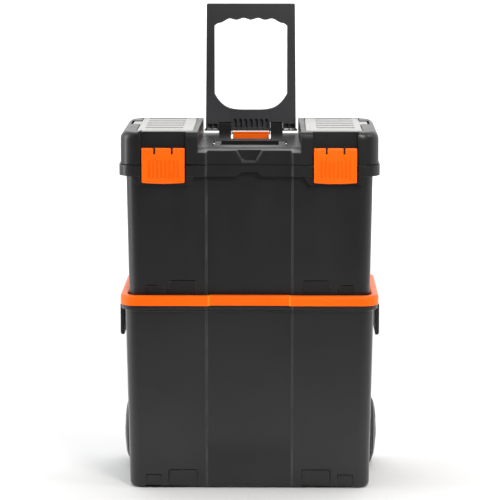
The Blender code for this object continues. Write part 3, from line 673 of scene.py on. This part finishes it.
def tub_moulding():
    """The tool box's tub: tapered walls, rolled flange with an arch in front, latch lugs, base pockets."""
    bottom = tub_low.z
    flange_half = (tub_high.x, 0.1310)
    rings = []
    for z, inset in ((bottom, 0.0030), (bottom + 0.0008, 0.0014), (bottom + 0.003, 0.0), (0.566, 0.0)):
        rings.append(ring(tub_half(z), inset, z, panel=PANEL_DEPTH))
    for z, inset in ((0.566, 0.0026), (0.5500, 0.0026), (0.5500, 0.0), (0.5686, 0.0), (0.5690, 0.0004)):
        rings.append(ring(flange_half, inset, z, 0.032, PANEL_DEPTH))
    for z, inset in ((0.5690, 0.0028), (0.378, 0.0028), (0.372, 0.0075), (bottom + 0.004, 0.008)):
        rings.append(ring(tub_half(z), inset, z, panel=PANEL_DEPTH))
    tub = loft("tub_moulding", rings)
    joins = []
    cuts = []
    for side, _ in SIDES:
        low, high = span(side, 0.0945, 0.2005)
        lug = [
            (low, 0.556), (low, 0.5495), (low + 0.0065, 0.5372), (low + 0.0095, 0.5358),
            (high - 0.0095, 0.5358), (high - 0.0065, 0.5372), (high, 0.5495), (high, 0.556),
        ]
        joins.append(prism("lug", lug, "Y", -0.1338, -0.1195))
        centre = side * LATCH_X
        cuts.append(block("seat", (centre - 0.0386, -0.150, 0.50), (centre + 0.0386, -0.1283, 0.60)))
        for outline_points in (
            [(0.0915, 0.30), (0.0935, 0.3660), (0.1330, 0.3660), (0.1400, 0.3605), (0.1405, 0.30)],
            [(0.1545, 0.30), (0.1550, 0.3520), (0.1600, 0.3578), (0.1775, 0.3578), (0.1800, 0.30)],
        ):
            cuts.append(sunk("pocket", [(side * x, z) for x, z in outline_points], -0.1185, -0.1164))
        for x in (side * EAR_X - 0.0145, side * EAR_X + 0.0145):
            ear = [(0.1215, 0.5652), (0.1317, 0.5652), (0.1317, 0.5686), (0.1215, 0.5686)]
            joins.append(prism("ear_arm", ear, "X", x - 0.005, x + 0.005))
            joins.append(rod("ear", LID_HINGE, 0.0043, x - 0.005, x + 0.005))
        cuts.append(rod("bore", LID_HINGE, 0.0019, side * EAR_X - 0.03, side * EAR_X + 0.03))
        for y in (-0.050, 0.042):
            start, end = span(side, 0.1995, 0.2092)
            joins.append(block("ledge", (start, y, 0.474), (end, y + 0.016, 0.4835)))
    arch = [
        (-0.0215, 0.545), (-0.0205, 0.5500), (-0.0138, 0.5577),
        (0.0138, 0.5577), (0.0205, 0.5500), (0.0215, 0.545),
    ]
    cuts.append(prism("arch", arch, "Y", -0.140, -0.1262))
    back = rounded([(-0.130, 0.355), (0.130, 0.355), (0.133, 0.530), (-0.133, 0.530)], 0.010)
    cuts.append(prism("back_panel", back, "Y", 0.1122, 0.15))
    shape(tub, joins=joins, cuts=cuts, bevel=0.0004)
    place(tub, BLACK, "black_plastic", "tool_box", "upper_body")


# ---------------------------------------------------------------- lid

def lid_block():
    """The lid's outside: slight draft, soft shoulders at the sides, a tighter one in front and behind."""
    half_x, half_y = lid_high.x, 0.1295
    turns = [math.radians(11.25 * i) for i in range(9)]
    levels = [(PARTING + 0.0004, 0.0, 0.0, 0.0), (0.5740, 0.0004, 0.0, 0.0)]
    for a in turns:
        soft = 1 - math.cos(a)
        levels.append((0.6120 + 0.0140 * math.sin(a), 0.0006 + 0.0120 * soft, 0.0058 * soft, 0.0030 * soft))
    rings = []
    for z, side_in, front_in, back_in in levels:
        front, back = CENTRE_Y - half_y + front_in, CENTRE_Y + half_y - back_in
        flat = outline(half_x - side_in, front, back, 0.032 - side_in / 2, PANEL_DEPTH, LID_PANEL)
        rings.append([(x, y, z) for x, y in flat])
    return loft("lid_moulding", rings)


def notch_outline(grow):
    """The finger notch in the lid's front, seen square on: a cup with sloping sides."""
    top, foot = 0.0253 + grow, 0.0122 + grow * 0.6
    return [(-top, 0.5990), (-foot, 0.5750 - grow), (foot, 0.5750 - grow), (top, 0.5990)]


def notch_bead():
    """A raised bead round the notch, laid on the recessed front panel."""
    rings = [[(x, y, z) for x, z in rounded(notch_outline(grow), 0.003)]
             for y, grow in ((-0.1270, 0.0026), (-0.1285, 0.0026), (-0.1297, 0.0012), (-0.1297, 0.0002))]
    bead = loft("bead", rings)
    above = block("bead_top", (-0.040, -0.140, 0.5932), (0.040, -0.120, 0.62))
    return shape(bead, cuts=[above], bevel=0)


def notch_cutter():
    """The notch itself, its walls sloping in."""
    rings = [[(x, y, z) for x, z in rounded(notch_outline(grow), 0.003)]
             for y, grow in ((-0.1400, 0.0004), (-0.1297, 0.0002), (-0.1266, -0.0026))]
    return loft("notch", rings)


def lid_moulding():
    """The lid: trough with its lip, carrying-handle pocket, release channel, organisers, latch seats, ears."""
    lid = lid_block()
    joins = []
    hollow = [ring((0.2186, 0.1200), 0, z, 0.026) for z in (0.560, 0.581)]
    cuts = [loft("hollow", hollow)]
    trough_steps = ((-0.15, 0.0885, 0.5797), (-0.1205, 0.0881, TROUGH_FLOOR), (0.14, 0.0850, TROUGH_FLOOR))
    trough = [[(-half, y, floor), (half, y, floor), (half, y, 0.65), (-half, y, 0.65)]
              for y, half, floor in trough_steps]
    cuts.append(loft("trough", trough))
    cuts.append(block("channel", (-CHANNEL_HALF, 0.020, 0.5842), (CHANNEL_HALF, 0.14, 0.61)))
    shape(lid, cuts=cuts, bevel=0.0008)
    cuts, ribs, bores = [], [notch_bead()], [notch_cutter()]
    pocket = rounded([(-0.064, -0.0945), (0.064, -0.0945), (0.064, -0.0135), (-0.064, -0.0135)], 0.004)
    cuts.append(prism("carry_pocket", pocket, "Z", 0.5855, 0.61))
    cuts.append(rod("carry_bore", (CARRY_PIN_Y, CARRY_PIN_Z), 0.0031, -0.069, 0.069))
    cuts.append(block("floor_slot", (-0.021, 0.0005, 0.5972), (0.013, 0.0040, 0.61)))
    for side, _ in SIDES:
        for (near, far), (start, end), top in (
            ((0.038, 0.086), (-0.009, 0.119), 0.5962), ((0.030, 0.086), (-0.1215, -0.095), 0.5962),
            ((0.0915, 0.0960), (-0.1215, 0.119), 0.6180), ((0.1975, 0.2140), (-0.100, 0.092), 0.6140),
        ):
            low, high = span(side, near, far)
            cuts.append(block("under", (low, start, 0.575), (high, end, top)))
        low, high = span(side, 0.101, 0.1895)
        cuts.append(block("organiser", (low, -0.1015, 0.584), (high, 0.116, 0.64)))
        low, high = span(side, 0.0955, 0.1945)
        seat = [(low, -0.107), (high, -0.107), (high, 0.1215), (low, 0.1215)]
        cuts.append(prism("cover_seat", rounded(seat, 0.010), "Z", 0.6208, 0.64))
        low, high = span(side, 0.1925, 0.2105)
        cuts.append(block("tab_pocket", (low, 0.0085, 0.6165), (high, 0.0695, 0.64)))
        cuts.append(prism("cover_bore", disc((side * COVER_PIN[0], COVER_PIN[1]), 0.0016), "Y", -0.1095, 0.1226))
        centre = side * LATCH_X
        cuts.append(block("latch_seat", (centre - 0.0388, -0.15, 0.50), (centre + 0.0388, -0.1255, 0.70)))
        for x in (centre - 0.015, centre + 0.015):
            ribs.append(block("latch_rib", (x - 0.0014, -0.1346, 0.5905), (x + 0.0014, -0.1240, 0.6005)))
        low, high = span(side, CHANNEL_HALF - 0.0003, POST_OUTER + 0.0003)
        turns = [math.radians(125 - 7 * i) for i in range(11)]
        post = [(ROD_Y + 0.0134 * math.cos(a), ROD_Z + 0.0134 * math.sin(a)) for a in turns]
        post += [(ROD_Y + 0.0085, 0.595), (ROD_Y - 0.0078, 0.595)]
        joins.append(prism("rod_post", post, "X", low, high))
        x = side * EAR_X
        arm = [(0.1200, 0.5702), (0.1317, 0.5702), (0.1317, 0.5736), (0.1200, 0.5790)]
        joins.append(prism("ear_arm", arm, "X", x - 0.0085, x + 0.0085))
        joins.append(rod("ear", LID_HINGE, 0.0043, x - 0.0085, x + 0.0085))
        cuts.append(rod("ear_bore", LID_HINGE, 0.0019, x - 0.010, x + 0.010))
        bores.append(rod("latch_bore", LATCH_PIN, 0.0016, centre - 0.018, centre + 0.018))
    cuts.append(rod("rod_bore", (ROD_Y, ROD_Z), 0.0031, -0.0585, 0.0585))
    shape(lid, joins=joins, cuts=cuts, bevel=0.0003, limit=44)
    shape(lid, joins=ribs, cuts=bores, bevel=0.0002, limit=44)
    place(lid, BLACK, "black_plastic", "lid", "lid")


def latch(side, label):
    """A draw-over latch: curved foot, rounded corners, fine grip grooves, slits round the lid's ribs."""
    low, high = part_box("latch_" + label)
    centre, front = side * LATCH_X, low.y + 0.0001
    y, z = LATCH_PIN
    turns = [math.radians(-30 + 15 * i) for i in range(15)]
    profile = [(y + 0.0042 * math.cos(a), z + 0.0042 * math.sin(a)) for a in turns]
    profile += [
        (front, low.z + 0.003), (front + 0.0012, low.z), (-0.1296, low.z), (-0.1294, low.z + 0.0035),
        (-0.1326, low.z + 0.0055), (-0.1326, z - 0.0042),
    ]
    made = prism(f"latch_{label}_moulding", profile, "X", low.x, high.x)
    sag = [(centre + (high.x - low.x) / 2 * t / 8, low.z + 0.0016 * (t / 8) ** 2) for t in range(-8, 9)]
    face = [(x, z) for x, z in sag] + [(high.x, high.z + 0.001), (low.x, high.z + 0.001)]
    keep = [prism("face", rounded(face, 0.0026, 3), "Y", -0.15, -0.12)]
    grooves = []
    for index in range(8):
        x = centre + (index - 3.5) * 0.0070
        flat = [(x - 0.0017, 0.5480), (x + 0.0017, 0.5480), (x + 0.0017, 0.5775), (x - 0.0017, 0.5775)]
        grooves.append(prism("groove", rounded(flat, 0.0014), "Y", front - 0.01, front + 0.0012))
    cuts = [block("slit", (x - 0.0016, -0.15, z - 0.0062), (x + 0.0016, -0.12, 0.61))
            for x in (centre - 0.015, centre + 0.015)]
    cuts.append(rod("pin_bore", (y, z), 0.0016, centre - 0.05, centre + 0.05))
    shape(made, keep=keep, bevel=0)
    shape(made, cuts=cuts, bevel=0.0005)
    shape(made, cuts=grooves, bevel=0.0003, limit=44)
    place(made, ORANGE, "orange_plastic", "latch_" + label, "latch_" + label)


def organiser_cover(side, label):
    """A frosted cover: a flat plate with a hinge roll and pegs, cross grooves and a finger tab."""
    low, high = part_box("organiser_cover_" + label)
    x, z = COVER_PIN
    turns = [math.radians(90 + 22.5 * i) for i in range(9)]
    section = [(x + 0.002 * math.cos(a), z + 0.002 * math.sin(a)) for a in turns]
    section += [(0.1935, z - 0.002), (0.1935, z + 0.0012), (0.1927, z + 0.002)]
    cover = prism(f"cover_{label}_moulding", [(side * a, b) for a, b in section], "Y", -0.106, 0.1205)
    start, end = span(side, 0.1905, 0.2070)
    tab = rounded([(start, 0.012), (end, 0.012), (end, 0.066), (start, 0.066)], 0.004)
    joins = [prism("tab", tab, "Z", z - 0.0018, z + 0.0014)]
    joins.append(prism("pegs", disc((side * x, z), 0.0012, 16), "Y", -0.109, 0.1222))
    cuts = []
    for y in COVER_GROOVES:
        start, end = span(side, 0.1160, 0.1820)
        near, far = y - GROOVE_HALF, y + GROOVE_HALF
        groove = rounded([(start, near), (end, near), (end, far), (start, far)], 0.003)
        cuts.append(prism("groove", groove, "Z", z - 0.0004, 0.64))
    shape(cover, joins=joins, cuts=cuts, bevel=0.0004)
    place(cover, CLEAR, "clear_plastic", "cover_" + label, "organiser_cover_" + label)


# ---------------------------------------------------------------- handles

def window_outline(grow=0.0):
    """The tow handle's opening: finger scallops along its top, a deep curve along its bottom."""
    half, top, bottom = 0.0650 + grow, 0.8050 + grow, 0.6420 - grow
    points = []
    for i in range(97):
        x = half * (i / 48 - 1)
        scallop = 0.0016 * math.cos(2 * math.pi * x / 0.0256)
        points.append((x, top - 0.014 * abs(x / half) ** 5 - scallop))
    for i in range(65):
        x = half * (1 - i / 32)
        points.append((x, bottom + 0.0290 * abs(x / half) ** 4.2))
    return points


def tow_handle():
    """The raised handle: a plate with a wide window, a sunk fluted foot, open cells and a ribbed back."""
    front, back = handle_low.y, handle_high.y
    top_half, foot_half, top, foot = 0.0790, handle_high.x, handle_high.z, 0.6040
    plate = [
        (-foot_half, foot), (foot_half, foot), (foot_half, 0.619), (top_half, top - 0.0015),
        (top_half - 0.0015, top), (-top_half + 0.0015, top), (-top_half, top - 0.0015), (-foot_half, 0.619),
    ]
    handle = prism("tow_handle_moulding", plate, "Y", front, back)
    shape(handle, cuts=[prism("window", window_outline(), "Y", front - 0.01, back + 0.01)], bevel=0.0010)
    panel = [(-0.0362, 0.600), (0.0362, 0.600), (0.0362, 0.66), (-0.0362, 0.66)]
    cuts = [prism("foot_panel", panel, "Y", front - 0.01, front + 0.0012)]
    joins = []
    for number in range(-3, 4):
        x = number * 0.0095
        tooth = [(x - 0.0034, 0.6099), (x + 0.0034, 0.6099), (x + 0.0032, 0.6215), (x + 0.0026, 0.6238)]
        tooth += [(x + 0.0006, 0.6256), (x - 0.0020, 0.6250), (x - 0.0032, 0.6225)]
        cuts.append(prism("flute", tooth, "Y", front - 0.01, front + 0.0085))
        cuts.append(block("flute_foot", (x - 0.0034, front - 0.01, 0.600), (x + 0.0034, front + 0.0026, 0.6110)))
    for side, _ in SIDES:
        low, high = span(side, CHANNEL_HALF - 0.0005, POST_OUTER + 0.0005)
        cuts.append(block("post_slot", (low, front - 0.01, 0.59), (high, back + 0.01, 0.6197)))
        for near, far in ((0.0600, 0.0684), (0.0702, 0.0786)):
            low, high = span(side, near, far)
            cuts.append(block("cell", (low, front - 0.01, 0.6058), (high, back - 0.0025, 0.6165)))
        low, high = span(side, 0.0331, 0.0348)
        joins.append(block("paddle_ear", (low, ROD_Y - 0.0035, 0.5968), (high, ROD_Y + 0.0035, 0.6045)))
    back_web = rounded([(-0.070, 0.626), (0.070, 0.626), (0.070, 0.638), (-0.070, 0.638)], 0.002)
    cuts.append(prism("back_web", back_web, "Y", back - 0.0016, back + 0.01))
    for number in range(-4, 5):
        x = number * 0.0135
        rib = rounded([(x - 0.005, 0.811), (x + 0.005, 0.811), (x + 0.005, 0.826), (x - 0.005, 0.826)], 0.0015)
        cuts.append(prism("back_rib", rib, "Y", back - 0.0016, back + 0.01))
    shape(handle, cuts=cuts, bevel=0)
    bores = [rod("bore", (ROD_Y, ROD_Z), 0.0031, -0.09, 0.09)]
    bores.append(rod("peg_bore", (ROD_Y, 0.5992), 0.0015, -0.04, 0.04))
    shape(handle, joins=joins, cuts=bores, bevel=0.0003, limit=44)
    place(handle, HANDLE_BLACK, "black_plastic", "tow_handle", "tow_handle")


def release_paddle():
    """The orange rocker behind the handle's foot, with a proud top bead."""
    low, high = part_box("release_paddle")
    y = ROD_Y
    section = [
        (y - 0.0030, 0.5992), (y - 0.0027, 0.6006), (y - 0.0021, 0.6013), (y, 0.6022), (y + 0.0021, 0.6013),
        (y + 0.0030, 0.5992), (y + 0.0022, 0.5890), (y - 0.0010, 0.5878), (y - 0.0034, 0.5890),
        (y - 0.0029, 0.5975), (y - 0.0022, 0.5979), (y - 0.0022, 0.5984),
    ]
    paddle = prism("release_paddle_moulding", section, "X", -0.0325, 0.0325)
    joins = [rod("pegs", (y, 0.5992), 0.0011, low.x, high.x, 16)]
    shape(paddle, joins=joins, bevel=0.0004, limit=50)
    place(paddle, ORANGE, "orange_plastic", "release_paddle", "release_paddle")


def carry_handle():
    """The folding handle: a rounded grip bar on two arms with round knuckles."""
    low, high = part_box("carry_handle")
    middle, half = (low.z + high.z) / 2, (high.z - low.z) / 2
    bar = [(low.y, low.z), (low.y + 0.0150, low.z), (low.y + 0.0150, high.z), (low.y, high.z)]
    handle = prism("carry_handle_moulding", rounded(bar, 0.0056, 6), "X", low.x, high.x)
    joins = []
    for side, _ in SIDES:
        start, end = span(side, 0.0500, high.x)
        joins.append(rod("knuckle", (CARRY_PIN_Y, middle), half, start, end))
        start, end = span(side, 0.0505, high.x - 0.0005)
        joins.append(block("arm", (start, low.y + 0.006, low.z + 0.0008), (end, CARRY_PIN_Y, high.z - 0.0008)))
    pins = [rod("pin_bore", (CARRY_PIN_Y, middle), 0.0029, -0.07, 0.07)]
    shape(handle, joins=joins, cuts=pins, bevel=0.0007)
    place(handle, HANDLE_BLACK, "black_plastic", "carry_handle", "carry_handle")


def soften_kept_nodes():
    """CAD nodes that stay on show get fine rounded edges."""
    kept = ["tool_tray"] + [f"divider_{label}_{n}" for _, label in SIDES for n in range(1, 5)]
    for name in kept:
        obj = frame["nodes"][name]
        edge = obj.modifiers.new("edges", "BEVEL")
        edge.width = 0.0003
        edge.segments = 2
        edge.limit_method = "ANGLE"
        edge.angle_limit = math.radians(50)
        edge.use_clamp_overlap = False


# ---------------------------------------------------------------- stage

def stage_material(name, pale, grey, exposure):
    """A matt floor: grey in front to reflections; to the camera, toned down near by and white far off."""
    made, nodes, links, shader = new_material(name, roughness=0.9, specular=0.1)
    place = nodes.new("ShaderNodeTexCoord")
    split = nodes.new("ShaderNodeSeparateXYZ")
    links.new(place.outputs["Object"], split.inputs["Vector"])
    share = spread(nodes, links, split.outputs["Y"], 0.0, 1.0, start=-1.8, end=-0.35)
    seen = nodes.new("ShaderNodeLightPath")
    tone = two_tone(nodes, links, share, grey, pale)
    toned = nodes.new("ShaderNodeMix")
    toned.data_type = "RGBA"
    reach = nodes.new("ShaderNodeVectorMath")
    reach.operation = "LENGTH"
    links.new(place.outputs["Object"], reach.inputs[0])
    far = spread(nodes, links, reach.outputs["Value"], 0.0, 1.0, start=1.2, end=4.5)
    seen_tone = two_tone(nodes, links, far, (exposure,) * 3, (0.95,) * 3)
    links.new(seen_tone, toned.inputs["B"])
    links.new(seen.outputs["Is Camera Ray"], toned.inputs["Factor"])
    links.new(tone, toned.inputs["A"])
    links.new(toned.outputs["Result"], shader.inputs["Base Color"])
    shader.inputs["Emission Color"].default_value = (1.0, 1.0, 1.0, 1.0)
    glow = nodes.new("ShaderNodeMath")
    glow.operation = "MULTIPLY"
    links.new(spread(nodes, links, far, 0.0, 0.45, 0.0, 1.0), glow.inputs[0])
    links.new(seen.outputs["Is Camera Ray"], glow.inputs[1])
    links.new(glow.outputs["Value"], shader.inputs["Emission Strength"])
    return made


def sweep_floor():
    """A floor that runs on to the horizon."""
    bm = bmesh.new()
    reach = 300
    corners = ((-reach, -reach), (reach, -reach), (reach, reach), (-reach, reach))
    bm.faces.new([bm.verts.new((x, y, 0.0)) for x, y in corners])
    mesh = bpy.data.meshes.new("floor")
    bm.to_mesh(mesh)
    bm.free()
    floor = bpy.data.objects.new("floor", mesh)
    bpy.context.scene.collection.objects.link(floor)
    mesh.materials.append(stage_material("white_floor", (0.95, 0.95, 0.95), (0.20, 0.20, 0.20), 0.55))


def area_light(name, spot, target, size, power, colour=(1.0, 1.0, 1.0)):
    """A rectangular light at spot, aimed at target."""
    data = bpy.data.lights.new(name, "AREA")
    data.shape = "RECTANGLE"
    data.size, data.size_y = size
    data.energy = power
    data.color = colour
    lamp = bpy.data.objects.new(name, data)
    bpy.context.scene.collection.objects.link(lamp)
    lamp.location = spot
    lamp.rotation_euler = (Vector(target) - Vector(spot)).to_track_quat("-Z", "Y").to_euler()


def studio():
    """A white room, brighter behind and to the left, with a key in front, a light at each side and one above."""
    world = bpy.data.worlds.new("studio")
    bpy.context.scene.world = world
    world.use_nodes = True
    nodes, links = world.node_tree.nodes, world.node_tree.links
    background = nodes["Background"]
    place = nodes.new("ShaderNodeTexCoord")
    split = nodes.new("ShaderNodeSeparateXYZ")
    links.new(place.outputs["Generated"], split.inputs["Vector"])
    ramp = nodes.new("ShaderNodeMapRange")
    ramp.inputs["From Min"].default_value = -0.7
    ramp.inputs["From Max"].default_value = 0.0
    ramp.inputs["To Min"].default_value = 0.18
    ramp.inputs["To Max"].default_value = 1.4
    lean = nodes.new("ShaderNodeMath")
    lean.operation = "MULTIPLY_ADD"
    lean.inputs[1].default_value = -0.20
    links.new(split.outputs["X"], lean.inputs[0])
    links.new(split.outputs["Y"], lean.inputs[2])
    links.new(lean.outputs["Value"], ramp.inputs["Value"])
    seen = nodes.new("ShaderNodeLightPath")
    pick = nodes.new("ShaderNodeMix")
    links.new(seen.outputs["Is Camera Ray"], pick.inputs["Factor"])
    links.new(ramp.outputs["Result"], pick.inputs["A"])
    pick.inputs["B"].default_value = 1.1
    links.new(pick.outputs["Result"], background.inputs["Strength"])
    background.inputs["Color"].default_value = (1.0, 1.0, 1.0, 1.0)
    area_light("key", (0.55, -1.35, 1.35), (0, 0, 0.45), (0.5, 0.5), 21.0, (1.0, 0.97, 0.92))
    area_light("strip_left", (-2.4, -0.1, 1.0), (0, 0, 0.4), (0.5, 1.6), 34.0, (0.96, 0.98, 1.0))
    area_light("side_right", (2.0, -0.7, 2.0), (0, 0, 0.5), (0.5, 0.5), 14.0)
    area_light("top", (0.0, 0.8, 3.0), (0, 0, 0.3), (2.4, 2.0), 60.0)
    bpy.context.scene.view_settings.view_transform = "Standard"


def camera():
    """Eye a little above the handle, about four metres away, a few centimetres to the right of centre."""
    data = bpy.data.cameras.new("camera")
    data.sensor_width = 36.0
    data.lens = 168.8
    eye = bpy.data.objects.new("camera", data)
    bpy.context.scene.collection.objects.link(eye)
    eye.location = (0.047, -4.1055, 1.0347)
    eye.rotation_euler = (math.radians(90 - 8.75), 0.0, math.radians(0.66))
    bpy.context.scene.camera = eye


finish_cad_nodes()
soften_kept_nodes()
bin_moulding()
rim_moulding()
tub_moulding()
lid_moulding()
tow_handle()
release_paddle()
carry_handle()
for side, label in SIDES:
    side_grip(side, label)
    wheel(side, label)
    latch(side, label)
    organiser_cover(side, label)
sweep_floor()
studio()
camera()
